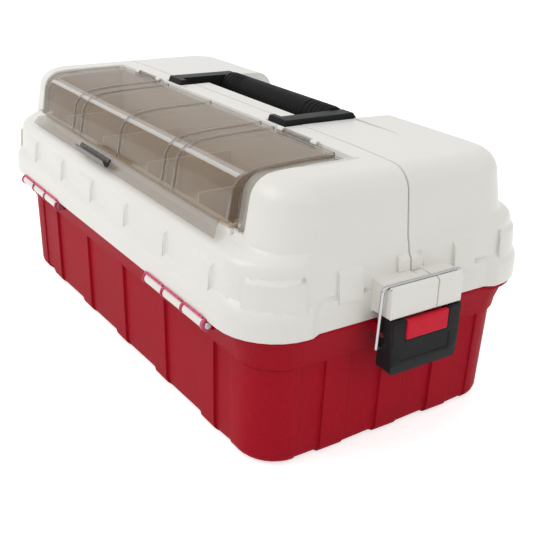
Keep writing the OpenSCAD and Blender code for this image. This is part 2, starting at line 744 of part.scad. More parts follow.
module lure_bin() {
    y0 = window_y0 + gap;
    y1 = window_y1 - gap;
    lip_x = cover_l / 2 - cover_flange - cover_t - 2 * gap;
    lip_z = box_h - seat_d + 1.3;
    color([0.78, 0.7, 0.58])
    difference() {
        union() {
            difference() {
                along_x(-bin_x, bin_x)
                    polygon(concat([[y0, bin_z], [y0, sill_z + 1.6]],
                                   [for (p = roof_line(seat_d + 0.4, y1))
                                       if (p[1] > sill_z + 1.6 && p[0] < y1) p],
                                   [[y1, box_h - seat_d - 0.4], [y1, bin_z]]));
                block([-bin_x + bin_wall, y0 + bin_wall, bin_z + bin_wall],
                      [bin_x - bin_wall, y1 - bin_wall, far]);
            }
            for (x = bin_dividers)
                block([x - bin_wall / 2, y0 + 0.5, bin_z + 0.5], [x + bin_wall / 2, y1 - 0.5, divider_z]);
            block([-bin_x, y0 - sill_w + 0.8, sill_z], [bin_x, y0 + bin_wall, sill_z + 1.6]);
            block([-lip_x, y1 - bin_wall, box_h - seat_d - 2], [lip_x, y1, lip_z]);
            block([-lip_x, y1 - bin_wall, box_h - seat_d], [lip_x, window_y1 + 2.6, lip_z]);
        }
    }
}

// ---- handle --------------------------------------------------------------------

// Side of an arm in y and z: hooked end, pivot hub and root of the grip bar
module arm_side() {
    a = handle_axis;
    g = grip_axis;
    intersection() {
        polygon([[a[0] - 30, a[1] + 1], [a[0] - 30, arm_top], [g[0] + 8, arm_top - 0.6],
                 [g[0] + 11.5, g[1] + 6], [g[0] + 11, g[1] - 7], [g[0] + 4, g[1] - 11.5],
                 [a[0] + 14, a[1] - 7], [a[0], a[1] - 7.5], [a[0] - 7, a[1] - 3]]);
        union() {
            translate(a) circle(r = hook_r, $fn = 96);
            translate([a[0], 0]) square([far, far]);
        }
    }
}

module handle_frame() {
    color([0.09, 0.09, 0.1])
    difference() {
        union() {
            both_ends() {
                along_x(arm_x, arm_x + arm_w) arm_side();
                along_x(hook_x, arm_x + 1)
                    intersection() {
                        arm_side();
                        translate([handle_axis[0] - 30, 0]) square([16, far]);
                    }
            }
            bar(grip_axis, grip_bar_r, -arm_x - 1, arm_x + 1);
        }
        both_ends() bar(handle_axis, handle_pin_r + run_fit, arm_x + 3, far);
    }
}

module grip_sleeve() {
    groove = 0.9;
    color([0.07, 0.07, 0.08])
    translate([0, grip_axis[0], grip_axis[1]]) rotate([0, 90, 0])
        rotate_extrude()
            polygon(concat([[grip_bar_r + 0.05, -grip_l / 2], [grip_r - 1.5, -grip_l / 2],
                            [grip_r - 0.4, -grip_l / 2 + 1.5]],
                           [for (i = [0 : 4], j = [0 : 2]) [grip_r - (j == 1 ? groove : 0),
                                                            -grip_l / 2 + 5 + i * 6 + j * 2]],
                           [for (i = [4 : -1 : 0], j = [2 : -1 : 0]) [grip_r - (j == 1 ? groove : 0),
                                                            grip_l / 2 - 5 - i * 6 - j * 2]],
                           [[grip_r - 0.4, grip_l / 2 - 1.5], [grip_r - 1.5, grip_l / 2],
                            [grip_bar_r + 0.05, grip_l / 2]]));
}

module handle_pins() {
    color([0.09, 0.09, 0.1])
    both_ends() bar(handle_axis, handle_pin_r, arm_x + 3.4, recess_x + pocket_t - 0.2);
}

// ---- latches -------------------------------------------------------------------

// Side of the lever in x and z
module lever_side() {
    f = lever_face;
    polygon([[cheek_x, lever_top], [f - 1.5, lever_top], [f, lever_top - 1.5],
             [f, lever_top - lever_h + 8], [f - 1, lever_top - lever_h + 1],
             [f - 2.5, lever_top - lever_h], [cheek_x - 5, lever_top - lever_h + 1]]);
}

// Extrudes a shape drawn in x and z from y0 to y1
module along_y(y0, y1) {
    translate([0, y1, 0]) rotate([90, 0, 0]) linear_extrude(y1 - y0) children();
}

module latch_lever() {
    f = lever_face;
    color([0.08, 0.08, 0.09])
    difference() {
        intersection() {
            along_y(-cheek_y, cheek_y) lever_side();
            linear_extrude(far)
                polygon([[f - 40, -cheek_y], [f - 2, -cheek_y], [f, -cheek_y + 2], [f, cheek_y - 2],
                         [f - 2, cheek_y], [f - 40, cheek_y]]);
            rotate([90, 0, 90]) linear_extrude(far)
                polygon([[-cheek_y, far], [-cheek_y, lever_top - 12], [-cheek_y + 2, lever_top - lever_h + 4],
                         [-cheek_y + 5, lever_top - lever_h], [cheek_y - 5, lever_top - lever_h],
                         [cheek_y - 2, lever_top - lever_h + 4], [cheek_y, lever_top - 12], [cheek_y, far]]);
        }
        block([f - 40, -cheek_y + lever_t, lever_top - lever_h + lever_t],
              [f - lever_t, cheek_y - lever_t, far]);
        block([f - lever_t - 1, -button_w / 2 - gap, lever_top - 16.6], [f + 1, button_w / 2 + gap, far]);
        bar_y(lever_axis, lever_pin_r + run_fit, -far, far);
        bar_y(bail_axis, wire_r + run_fit, -far, far);
    }
    // guides beside and below the button, clear of the pivot pin
    x0 = lever_axis[0] + lever_pin_r + gap;
    x1 = f - lever_t + 0.5;
    color([0.08, 0.08, 0.09]) {
        for (s = [-1, 1])
            translate([0, s * (button_w / 2 + gap + 1), 0])
                block([x0, -1, lever_top - 15], [x1, 1, lever_top - 1]);
        block([x0 - 1, -button_w / 2 - 2, lever_top - 20], [x1, button_w / 2 + 2, lever_top - 18]);
    }
}

module latch_button() {
    f = lever_face;
    w = button_w / 2;
    out = f + button_out;
    stem_x = f - lever_t - 1.5 - button_travel;
    color([0.8, 0.12, 0.2])
    difference() {
        union() {
            along_y(-w, w)
                polygon([[f - lever_t + 0.2, lever_top - 16.2], [out - 0.8, lever_top - 16.2],
                         [out, lever_top - 15.2], [out - 0.2, lever_top - 2.5], [out - 1.2, lever_top - 0.9],
                         [f - lever_t + 0.2, lever_top - 0.9]]);
            along_y(-w + 8, w - 8)
                polygon([[stem_x, lever_top - 8], [f - lever_t + 0.4, lever_top - 8],
                         [f - lever_t + 0.4, lever_top - 3], [stem_x, lever_top - 3]]);
        }
        for (s = [-1, 1])
            translate([out + 0.2, s * w, lever_top - 9]) rotate([0, 0, 45])
                cube([2.4, 2.4, far], center = true);
    }
}

// Wire bail: a bar over the catch block, two legs and two turned-in ends
module latch_bail() {
    bend = 4;
    lean = atan2(wire_bar[0] - bail_axis[0], wire_bar[1] - bail_axis[1]);
    leg = norm(wire_bar - bail_axis);
    color("silver")
    translate([bail_axis[0], 0, bail_axis[1]]) rotate([0, lean, 0]) {
        translate([0, -leg_y + bend, leg]) rotate([-90, 0, 0])
            cylinder(r = wire_r, h = 2 * (leg_y - bend), $fn = 24);
        for (s = [-1, 1]) scale([1, s, 1]) {
            translate([0, leg_y, 0]) cylinder(r = wire_r, h = leg - bend, $fn = 24);
            translate([0, leg_y, 0]) sphere(r = wire_r, $fn = 24);
            translate([0, leg_y - bend, leg - bend]) rotate([0, -90, 0])
                rotate_extrude(angle = 90, $fn = 48) translate([bend, 0]) circle(r = wire_r, $fn = 24);
            translate([0, cheek_y - lever_t, 0]) rotate([-90, 0, 0])
                cylinder(r = wire_r, h = leg_y - cheek_y + lever_t, $fn = 24);
        }
    }
}

module lever_pin() {
    color("silver") bar_y(lever_axis, lever_pin_r, -cheek_y + 0.3, cheek_y - 0.3);
}

// ---- trays ---------------------------------------------------------------------

module tray() {
    t = tray_wall;
    color([0.93, 0.92, 0.88])
    difference() {
        union() {
            tray_box();
            both_ends() along_x(tray_x - t, tray_x)
                polygon([[lid_pivot[0] - 7.5, tray_z + 4], [lid_pivot[0] + 7.5, tray_z + 4],
                         [lid_pivot[0] + 5.5, ear_top - 2], [lid_pivot[0] + 3, ear_top],
                         [lid_pivot[0] - 3, ear_top], [lid_pivot[0] - 5.5, ear_top - 2]]);
        }
        both_ends() {
            bar(lid_pivot, link_pin_r + 0.3, tray_x - t - 1, tray_x + 1);
            bar(tray_pivot, link_pin_r + run_fit, tray_x - t - 1, tray_x + 1);
        }
    }
}

// The open box of a tray, with its lower long edges broken
module tray_box() {
    t = tray_wall;
    difference() {
        round_block([-tray_x, tray_y0, tray_z], [tray_x, tray_y1, tray_z + tray_h], tray_r);
        round_block([-tray_x + t, tray_y0 + t, tray_z + t], [tray_x - t, tray_y1 - t, far], tray_r - t);
        for (y = [tray_y0, tray_y1])
            translate([0, y, tray_z]) rotate([45, 0, 0]) cube([far * 2, 3, 3], center = true);
    }
}

module tray_dividers() {
    t = tray_wall * 0.8;
    mid = tray_y0 + tray_w * 0.55;
    inside = tray_x - tray_wall - 0.2;
    color([0.82, 0.81, 0.77])
    difference() {
        union() {
            block([-inside, mid, tray_z + tray_wall], [inside, mid + t, tray_z + tray_h - 4]);
            for (i = [1 : tray_cells - 1])
                translate([-inside + i * 2 * inside / tray_cells, 0, 0])
                    block([-t / 2, tray_y0 + tray_wall + 0.2, tray_z + tray_wall],
                          [t / 2, mid + 0.5, tray_z + tray_h - 4]);
            for (i = [1 : 2])
                translate([-inside + i * 2 * inside / 3, 0, 0])
                    block([-t / 2, mid, tray_z + tray_wall],
                          [t / 2, tray_y1 - tray_wall - 0.2, tray_z + tray_h - 4]);
        }
        both_ends() bar(tray_pivot, link_pin_r + 3, tray_x - 8, tray_x);
    }
}

module link_bars() {
    v = link_v / link_r;
    n = [-v[1], v[0]] * link_w / 2;
    color([0.75, 0.76, 0.78])
    both_ends() difference() {
        union() {
            along_x(link_x, link_x + link_t)
                polygon([tub_pivot + n, tub_pivot - n, tray_pivot - n, tray_pivot + n]);
            bar(tub_pivot, link_w / 2, link_x, link_x + link_t);
            bar(tray_pivot, link_w / 2, link_x, link_x + link_t);
        }
        bar(tub_pivot, link_pin_r + run_fit, link_x - 1, link_x + link_t + 1);
        bar(tray_pivot, link_pin_r + run_fit, link_x - 1, link_x + link_t + 1);
    }
}

module tray_rivets() {
    color("silver")
    both_ends() {
        bar(tray_pivot, link_pin_r, tray_x - tray_wall - 0.2, link_x + link_t + 0.3);
        bar(tray_pivot, link_pin_r + 2, tray_x - tray_wall - 1, tray_x - tray_wall - 0.2);
        bar(tray_pivot, link_pin_r + 1.5, tray_x + 0.1, link_x - 0.3);
        bar(tray_pivot, link_pin_r + 1.5, link_x + link_t + 0.2, link_x + link_t + 0.9);
    }
}

module link_pins() {
    color("silver")
    both_ends() {
        bar(tub_pivot, link_pin_r, link_x - 0.3, inner_x + 2);
        bar(tub_pivot, link_pin_r + 1.5, link_x - 1, link_x - 0.3);
    }
}

module lid_rivets() {
    color("silver")
    both_ends() {
        bar(lid_pivot, link_pin_r, tray_x - tray_wall - 0.4, tray_x + 7.8);
        bar(lid_pivot, link_pin_r + 1.8, tray_x - tray_wall - 1.4, tray_x - tray_wall - 0.4);
    }
}

base_tub();
hinge_pins(-1);  // hinge_pins_front
hinge_pins(1);  // hinge_pins_back
lid_front();
lid_back();
bubble_cover();
cover_tab();
cover_pins();
lure_bin();
handle_frame();
grip_sleeve();
handle_pins();
latch_lever();  // lever_right
latch_button();  // button_right
latch_bail();  // bail_right
lever_pin();  // lever_pin_right
mirror([1, 0, 0]) latch_lever();  // lever_left
mirror([1, 0, 0]) latch_button();  // button_left
mirror([1, 0, 0]) latch_bail();  // bail_left
mirror([1, 0, 0]) lever_pin();  // lever_pin_left
tray();  // tray_front
tray_dividers();  // tray_dividers_front
mirror([0, 1, 0]) tray();  // tray_back
mirror([0, 1, 0]) tray_dividers();  // tray_dividers_back
link_bars();  // link_bars_front
mirror([0, 1, 0]) link_bars();  // link_bars_back
tray_rivets();  // tray_rivets_front
mirror([0, 1, 0]) tray_rivets();  // tray_rivets_back
link_pins();  // link_pins_front
mirror([0, 1, 0]) link_pins();  // link_pins_back
lid_rivets();  // lid_rivets_front
mirror([0, 1, 0]) lid_rivets();  // lid_rivets_back
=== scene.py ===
"""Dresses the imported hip-roof tackle box: moulded plastics with softened edges, smoky
clear cover, steel wire and pins, trim, a plain studio and the photograph's camera."""

import math

import bmesh
import bpy
from mathutils import Matrix, Vector


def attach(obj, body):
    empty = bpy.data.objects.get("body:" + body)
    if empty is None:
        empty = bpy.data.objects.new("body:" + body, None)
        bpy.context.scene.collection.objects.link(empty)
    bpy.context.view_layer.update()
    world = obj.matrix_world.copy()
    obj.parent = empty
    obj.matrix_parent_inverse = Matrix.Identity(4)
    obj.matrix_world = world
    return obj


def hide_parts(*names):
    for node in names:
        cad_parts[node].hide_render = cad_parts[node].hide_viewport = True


bl_info = {
    "name": "Tackle Box Dressing",
    "version": (1, 0, 0),
    "blender": (4, 5, 0),
    "location": "3D View > Sidebar > Tackle Box",
    "description": "Finishes the packed tackle box and sets up its studio",
    "category": "Object",
}

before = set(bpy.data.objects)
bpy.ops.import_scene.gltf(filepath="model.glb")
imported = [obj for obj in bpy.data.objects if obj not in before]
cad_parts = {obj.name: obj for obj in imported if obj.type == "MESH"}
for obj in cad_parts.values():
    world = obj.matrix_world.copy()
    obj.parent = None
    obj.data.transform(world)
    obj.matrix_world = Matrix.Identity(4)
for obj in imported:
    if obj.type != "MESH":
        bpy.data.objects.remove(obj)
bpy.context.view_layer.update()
ENDS = {"right": 1, "left": -1}  # with the sign of x there
SIDES = {"front": -1, "back": 1}  # with the sign of y there

# Places on the box, in metres
HINGE_Y, HINGE_Z = 0.137, 0.1075  # axis of a lid half's hinge
RING_Y, RING_Z = 0.1336, 0.1  # the tub's hinge rings lie outside and above these
KNUCKLES, KNUCKLE_X, KNUCKLE_PITCH = 4, 0.096, 0.031  # rings of one group, from the middle
STRIP_Y, STRIP_Z = 0.1390, 0.1124  # red strips between the rings
BLOCK_FACE_X = 0.2522  # a catch block stands outside this
BLOCK_SPLIT_Y = 0.0092  # where a catch block is parted between the lid halves
BLOCK_ROOT_X, BLOCK_LOW, BLOCK_HIGH = 0.2535, 0.1180, 0.1460  # bounds of its rounded edges
BLOCK_CORNER_X, BLOCK_CORNER_Y, BLOCK_FOOT = 0.2665, 0.0337, 0.1186  # just inside these
PANEL_Y, PANEL_LOW, PANEL_HIGH = 0.0235, 0.0845, 0.0975  # panel in a lever's face
COVER_LINES_X = (0.0, 0.082, 0.101, 0.1811)  # ribs and end of the cover, on both sides, where lines of shade are painted
COVER_BACK_Y, COVER_FOOT_Z = -0.0266, 0.1795  # its back edge, where a line of shade is painted, and the foot of its front
HIGHLIGHT_Z, HIGHLIGHT_X = 0.2106, 0.179  # the cover's front shoulder, where a highlight is painted, and its half length
WRINKLE_X = 0.058  # the grip is wrinkled beyond this, on both sides


# ---- materials -------------------------------------------------------------------


class Wire:
    """A shader socket that takes part in Python arithmetic."""

    def __init__(self, finish, socket):
        self.finish, self.socket = finish, socket

    def math(self, operation, *values):
        sockets = dict(enumerate((self, *values)))
        return self.finish.node("ShaderNodeMath", {"operation": operation}, sockets)

    def __add__(self, other):
        return self.math("ADD", other)

    def __sub__(self, other):
        return self.math("SUBTRACT", other)

    def __mul__(self, other):
        return self.math("MULTIPLY", other)

    def __pow__(self, other):
        return self.math("POWER", other)

    def __rsub__(self, other):
        return self.finish.node(
            "ShaderNodeMath", {"operation": "SUBTRACT"}, {0: other, 1: self}
        )

    def above(self, edge, softness):
        """0 below the edge, 1 above it, with a soft step between."""
        return self.finish.node(
            "ShaderNodeMapRange",
            {"interpolation_type": "SMOOTHSTEP"},
            {"Value": self, "From Min": edge - softness, "From Max": edge + softness},
        )


class Finish:
    """One procedural finish: a Principled shader fed by textures on Object coordinates."""

    def __init__(self, name, colour, **constants):
        self.material = bpy.data.materials.new(name)
        self.material.use_nodes = True
        self.tree = self.material.node_tree
        self.tree.nodes.clear()
        self.shader = self.tree.nodes.new("ShaderNodeBsdfPrincipled")
        self.shader.inputs["Base Color"].default_value = colour
        for socket, value in constants.items():
            self.shader.inputs[socket.replace("_", " ")].default_value = value
        output = self.tree.nodes.new("ShaderNodeOutputMaterial")
        self.tree.links.new(self.shader.outputs[0], output.inputs["Surface"])
        self.colour = colour

    def node(self, kind, settings=None, sockets=None, out=0):
        """Adds a node: its settings are set first, then its sockets get values or links."""
        made = self.tree.nodes.new(kind)
        for key, value in (settings or {}).items():
            setattr(made, key, value)
        for key, value in (sockets or {}).items():
            if isinstance(value, Wire):
                self.tree.links.new(value.socket, made.inputs[key])
            else:
                made.inputs[key].default_value = value
        return Wire(self, made.outputs[out])

    def feed(self, socket, value):
        self.tree.links.new(value.socket, self.shader.inputs[socket])

    def place(self, scale=(1, 1, 1), turn=(0, 0, 0)):
        """Object coordinates, turned and stretched by a Mapping node."""
        here = self.node("ShaderNodeTexCoord", out="Object")
        return self.node(
            "ShaderNodeMapping", {}, {"Vector": here, "Rotation": turn, "Scale": scale}
        )

    def noise(self, size, detail=2.0, rough=0.5, place=None):
        """Soft noise whose lumps are about size metres across."""
        return self.node(
            "ShaderNodeTexNoise",
            {},
            {"Vector": place or self.place(), "Scale": 1 / size, "Detail": detail,
             "Roughness": rough},
        )

    def pebbles(self, size):
        """Distance to the nearest of scattered points: the grain of leather-like moulding."""
        return self.node(
            "ShaderNodeTexVoronoi",
            {"feature": "SMOOTH_F1"},
            {"Vector": self.place(), "Scale": 1 / size, "Smoothness": 0.6},
        )

    def part_of(self, axis):
        """One axis of the Object coordinates."""
        return self.node("ShaderNodeSeparateXYZ", {}, {0: self.place()}, out=axis)

    def line(self, value, place, half):
        """1 within half of a place along a value, 0 beyond it, with soft edges."""
        return 1.0 - (value - place).math("ABSOLUTE").above(half, half * 0.4)

    def tint(self, factor, first, second):
        """Mixes two colours by a factor."""
        return self.node(
            "ShaderNodeMix",
            {"data_type": "RGBA", "clamp_factor": True},
            {0: factor, 6: first, 7: second},
            out=2,
        )

    def shade(self, factor, darker, lighter):
        """The finish's own colour, from darker to lighter as the factor goes from 0 to 1."""
        r, g, b, a = self.colour
        return self.tint(
            factor,
            (r * darker, g * darker, b * darker, a),
            (min(r * lighter, 1), min(g * lighter, 1), min(b * lighter, 1), a),
        )

    def relief(self, height, depth, strength):
        """Feeds the normal with a bump whose full height is depth metres."""
        bump = self.node(
            "ShaderNodeBump", {}, {"Height": height, "Distance": depth, "Strength": strength}
        )
        self.feed("Normal", bump)


RING_RED = (0.50, 0.030, 0.085, 1)
RING_PALE = (0.66, 0.16, 0.26, 1)
# pale colour of the highlight painted along the cover's front shoulder
PAINTED_HIGHLIGHT_PALE = (0.85, 0.82, 0.78, 1)
# near-black colour of the lines of shade painted along the cover's ribs, ends and back edge
RIB_PAINTED_SHADE = (0.02, 0.016, 0.013, 1)


def grained_tub(colour):
    """Deep red moulding with a fine leather grain; the hinge rings are paler."""
    f = Finish("tub_red_grain", colour, Roughness=0.5, Specular_IOR_Level=0.07)
    grain = f.pebbles(0.0016)
    fine = f.noise(0.0006, 3.0)
    broad = f.noise(0.075, 3.0, 0.55)
    mottle = f.noise(0.0045, 2.0)
    tone = broad * 0.45 + mottle * 0.3 + grain * 0.25
    body = f.shade(tone.above(0.47, 0.3), 0.86, 1.16)
    outside = f.part_of(1).math("ABSOLUTE").above(RING_Y, 0.0004)
    rings = outside * f.part_of(2).above(RING_Z, 0.001)
    ring_red = f.tint(mottle.above(0.5, 0.2), RING_RED, RING_PALE)
    f.feed("Base Color", f.tint(rings, body, ring_red))
    f.feed("Roughness", broad * 0.12 + mottle * 0.1 + 0.42)
    f.relief(grain * 0.75 + fine * 0.25, 0.00022, 0.55)
    return f.material


def pearl_lid(colour):
    """Pearly white moulding: very fine grain, faint warm clouding and a satin sheen, with a
    line of shade painted along the seam between the halves.
    """
    f = Finish("lid_white_pearl", colour, Roughness=0.36, Specular_IOR_Level=0.5,
               Coat_Roughness=0.3)
    grain = f.noise(0.0011, 3.0, 0.6)
    cloud = f.noise(0.09, 3.0, 0.5)
    fleck = f.pebbles(0.0022)
    tone = cloud * 0.6 + grain * 0.25 + fleck * 0.15
    body = f.tint(tone.above(0.45, 0.28), (*warm(colour, 0.955), 1), colour)
    out, across = f.part_of(0).math("ABSOLUTE"), f.part_of(1)
    on_block = out.above(BLOCK_FACE_X, 0.0003)
    # painted shade: a darker, warmer line along the seam between the lid halves, and along the
    # split of each catch block, stands in for the shade in the gap
    seam_shade = f.line(across, 0.0, half=0.0009) * (1.0 - on_block)
    split = f.line(across, BLOCK_SPLIT_Y, half=0.0008) * on_block
    f.feed("Base Color", f.tint(seam_shade + split, body, (*warm(colour, 0.78), 1)))
    f.feed("Roughness", cloud * 0.1 + grain * 0.12 + 0.26)
    f.feed("Coat Weight", cloud * 0.12 + 0.1)
    f.relief(grain * 0.7 + fleck * 0.3, 0.00009, 0.4)
    return f.material


def warm(colour, share):
    """A colour a little darker and warmer."""
    r, g, b = colour[:3]
    return r * share, g * share * 0.992, b * share * 0.97


def smoke_clear(colour):
    """Smoky clear moulding with faint moulding streaks and hairline scratches; dark lines of
    shade are painted along its ribs, ends and back edge, and a pale highlight along its front
    shoulder.
    """
    f = Finish("cover_smoke_clear", colour, Roughness=0.05, IOR=1.8, Specular_IOR_Level=1.0)
    streak = f.noise(0.012, 2.0, 0.5, f.place(scale=(1, 0.15, 1)))
    hair = f.noise(0.0012, 2.0, 0.5, f.place(scale=(1, 0.04, 1), turn=(0, 0, 0.5)))
    f.feed("Roughness", streak * 0.03 + hair.above(0.68, 0.04) * 0.08 + 0.015)
    along, across, up = f.part_of(0).math("ABSOLUTE"), f.part_of(1), f.part_of(2)
    above_foot = up.above(COVER_FOOT_Z, 0.0006)
    # dark lines painted along the ribs, ends and back edge, and made more opaque, stand in for
    # the shade that refraction puts at their edges
    edge_shade = f.line(across, COVER_BACK_Y, half=0.0006)
    for x in COVER_LINES_X:
        edge_shade = edge_shade + f.line(along, x, half=0.0008)
    edge_shade = edge_shade.math("MINIMUM", 1.0) * above_foot
    # a pale line painted along the front shoulder, and made more opaque, stands in for the
    # highlight of a lamp on that bend
    painted_highlight = f.line(up, HIGHLIGHT_Z, half=0.0011) * (1.0 - along.above(HIGHLIGHT_X, 0.001)) * 0.8
    tinted = f.tint(painted_highlight, f.shade(streak, 0.9, 1.08), PAINTED_HIGHLIGHT_PALE)
    f.feed("Base Color", f.tint(edge_shade, tinted, RIB_PAINTED_SHADE))
    rim = f.node("ShaderNodeLayerWeight", {}, {"Blend": 0.35}, out="Facing")
    f.feed("Alpha", (rim ** 2.0 * 0.40 + streak * 0.05 + 0.21 + edge_shade * 0.6 + painted_highlight * 0.45)
           .math("MINIMUM", 1.0))
    f.relief(streak, 0.0003, 0.25)
    return f.material


def smoked_clip(colour):
    """Dark brown gloss of the snap tab, thick enough to look nearly opaque."""
    f = Finish("tab_smoke_dark", colour, Roughness=0.25, Specular_IOR_Level=0.5)
    swirl = f.noise(0.006, 3.0, 0.6)
    f.feed("Base Color", f.shade(swirl.above(0.5, 0.25), 0.7, 1.5))
    f.feed("Roughness", swirl * 0.2 + 0.15)
    f.relief(swirl, 0.0001, 0.3)
    return f.material


def satin_bin(colour):
    """Beige bin plastic with a dull, slightly dusty face."""
    f = Finish("bin_beige_satin", colour, Roughness=0.5, Specular_IOR_Level=0.4)
    grain = f.noise(0.001, 2.0)
    dust = f.noise(0.03, 4.0, 0.6)
    f.feed("Base Color", f.shade(dust.above(0.5, 0.3), 0.93, 1.05))
    f.feed("Roughness", dust * 0.2 + 0.4)
    f.relief(grain, 0.00008, 0.4)
    return f.material


def black_satin(colour):
    """Black plastic with a spark-eroded satin face, rubbed smoother in patches."""
    f = Finish("black_satin", colour, Roughness=0.42, Specular_IOR_Level=0.08)
    grain = f.pebbles(0.0009)
    rub = f.noise(0.022, 3.0, 0.6)
    f.feed("Base Color", f.shade(rub.above(0.5, 0.25), 0.85, 1.35))
    f.feed("Roughness", rub * 0.2 + 0.32)
    f.relief(grain, 0.00012, 0.5)
    return f.material


def wrinkled_grip(colour):
    """Black rubber sleeve: small wrinkles across it near both ends, fine pitting between."""
    f = Finish("grip_rubber_wrinkled", colour, Roughness=0.6, Specular_IOR_Level=0.06)
    away = f.part_of(0).math("ABSOLUTE")
    wander = f.noise(0.009, 2.0)
    wave = (away * 900.0 + wander * 9.0).math("SINE") * 0.5 + 0.5
    near_end = away.above(WRINKLE_X, 0.02)
    pits = f.pebbles(0.0014)
    f.feed("Base Color", f.shade(pits, 0.8, 1.5))
    f.feed("Roughness", wander * 0.2 + 0.42)
    f.relief(wave * near_end * 0.8 + pits * 0.2, 0.0009, 0.7)
    return f.material


def gloss_button(colour):
    """Bright red plastic with a faint grain and patches of finger wear."""
    f = Finish("button_red_gloss", colour, Roughness=0.34, Specular_IOR_Level=0.1)
    wear = f.noise(0.014, 3.0, 0.55)
    grain = f.noise(0.0009, 2.0)
    f.feed("Base Color", f.shade(wear.above(0.5, 0.25), 0.93, 1.08))
    f.feed("Roughness", wear * 0.18 + 0.26)
    f.relief(grain, 0.00008, 0.4)
    return f.material


def drawn_steel(colour):
    """Bright drawn wire and rod: fine marks and faint dulling in patches."""
    f = Finish("steel_drawn", colour, Metallic=1.0, Roughness=0.24)
    marks = f.noise(0.0004, 2.0, 0.6)
    dull = f.noise(0.012, 3.0, 0.6)
    f.feed("Base Color", f.shade(dull, 0.86, 1.06))
    f.feed("Roughness", dull * 0.14 + marks * 0.12 + 0.12)
    f.relief(marks, 0.00003, 0.4)
    return f.material


def tray_plastic(colour):
    """Milky tray plastic, smoother than the lid, with flow lines from the mould."""
    f = Finish("tray_white_milky", colour, Roughness=0.42, Specular_IOR_Level=0.45)
    flow = f.noise(0.03, 3.0, 0.5, f.place(scale=(0.25, 1, 1)))
    grain = f.noise(0.0012, 2.0)
    f.feed("Base Color", f.shade(flow.above(0.5, 0.3), 0.96, 1.03))
    f.feed("Roughness", flow * 0.16 + 0.34)
    f.relief(grain, 0.00007, 0.35)
    return f.material


def rosy_strip(colour):
    """The paler red of the strip above the hinges, where stressed plastic has whitened."""
    f = Finish("hinge_red_pale", colour, Roughness=0.4, Specular_IOR_Level=0.2)
    stress = f.noise(0.004, 2.0, 0.6)
    f.feed("Base Color", f.tint(stress.above(0.55, 0.2), colour, RING_PALE))
    f.feed("Roughness", stress * 0.2 + 0.3)
    f.relief(stress, 0.0001, 0.3)
    return f.material


# ---- mesh work -------------------------------------------------------------------

WELD = 2e-6  # metres between corners that are one
FLAT_ANGLE = 0.4  # degrees between faces that are one
SMOOTH_ANGLE = 35.0  # degrees below which an edge is shaded as round
NARROW = 22.0  # degrees between an edge to be rounded and its neighbour, at least
SHORTEST = 0.9  # length of an edge that may be rounded, in widths of the rounding
ROOM = 2.3  # room on the faces beside it, in the same measure
PROBES = (0.06, 0.5, 0.94)  # shares of an edge's length where its room is measured
TOUCHING = 1e-7  # metres


def merged_copy(node):
    """A bmesh of a CAD solid with its loose triangles joined and its flats made whole."""
    bm = bmesh.new()
    bm.from_mesh(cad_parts[node].data)
    bmesh.ops.remove_doubles(bm, verts=bm.verts, dist=WELD)
    bmesh.ops.dissolve_limit(
        bm, angle_limit=math.radians(FLAT_ANGLE), verts=bm.verts, edges=bm.edges
    )
    return bm


def spread(corner, edge, other):
    """Angle between two edges that leave the same corner."""
    a = edge.other_vert(corner).co - corner.co
    b = other.other_vert(corner).co - corner.co
    return a.angle(b, 0.0)


def room_beside(edge, face):
    """Least distance straight across a face from an edge to the face's other edges."""
    own = next(loop for loop in face.loops if loop.edge is edge)
    a, b = own.vert.co, own.link_loop_next.vert.co
    along = (b - a).normalized()
    inward = face.normal.cross(along)
    least = math.inf
    for share in PROBES:
        p = a.lerp(b, share)
        for loop in face.loops:
            q, r = loop.vert.co - p, loop.link_loop_next.vert.co - p
            q_along, r_along = q.dot(along), r.dot(along)
            if loop is own or (q_along < 0) == (r_along < 0):
                continue
            part = q_along / (q_along - r_along)
            across = q.dot(inward) * (1 - part) + r.dot(inward) * part
            if across > TOUCHING:
                least = min(least, across)
    return least


def soften(bm, width, rounds=2, angle=28.0, where=None):
    """Rounds the sharp edges of a solid, all of them or those that where() picks.
    An edge beside a face too narrow for the rounding is left sharp, and so is one that
    leaves a corner almost along another, since its rounding would run out into a spike."""
    sharp = {
        e
        for e in bm.edges
        if e.is_manifold
        and e.calc_length() > width * SHORTEST
        and e.calc_face_angle(0) > math.radians(angle)
        and (where is None or where(e))
        and all(room_beside(e, f) > width * ROOM for f in e.link_faces)
    }
    narrow = math.radians(NARROW)
    while True:
        spikes = {
            e for e in sharp for v in e.verts
            if any(g is not e and spread(v, e, g) < narrow for g in v.link_edges)
        }
        if not spikes:
            break
        sharp -= spikes
    bmesh.ops.bevel(
        bm,
        geom=[e for e in bm.edges if e in sharp],
        offset=width,
        offset_type="OFFSET",
        segments=rounds,
        profile=0.5,
        affect="EDGES",
        clamp_overlap=False,
        material=-1,
    )


def corner_numbers(face):
    """A face's corners by number, which are the same in every run."""
    return sorted(v.index for v in face.verts)


def finished(name, bm, body, material, nodes=()):
    """Turns a bmesh into a piece that rides on a body and may stand for CAD nodes."""
    bm.verts.index_update()
    ranks = {f: i for i, f in enumerate(sorted(bm.faces, key=corner_numbers))}
    bm.faces.sort(key=ranks.get)  # rounding leaves them in another order in each run
    mesh = bpy.data.meshes.new(name)
    bm.to_mesh(mesh)
    bm.free()
    mesh.shade_smooth()
    mesh.set_sharp_from_angle(angle=math.radians(SMOOTH_ANGLE))
    piece = bpy.data.objects.new(name, mesh)
    bpy.context.scene.collection.objects.link(piece)
    mesh.materials.append(material)
    even = piece.modifiers.new("Even shading", "WEIGHTED_NORMAL")
    even.keep_sharp = True
    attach(piece, body)
    if nodes:
        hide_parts(*nodes)
    return piece


def dress(node, material):
    """Gives a CAD node its finish."""
    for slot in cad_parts[node].material_slots:
        slot.material = material


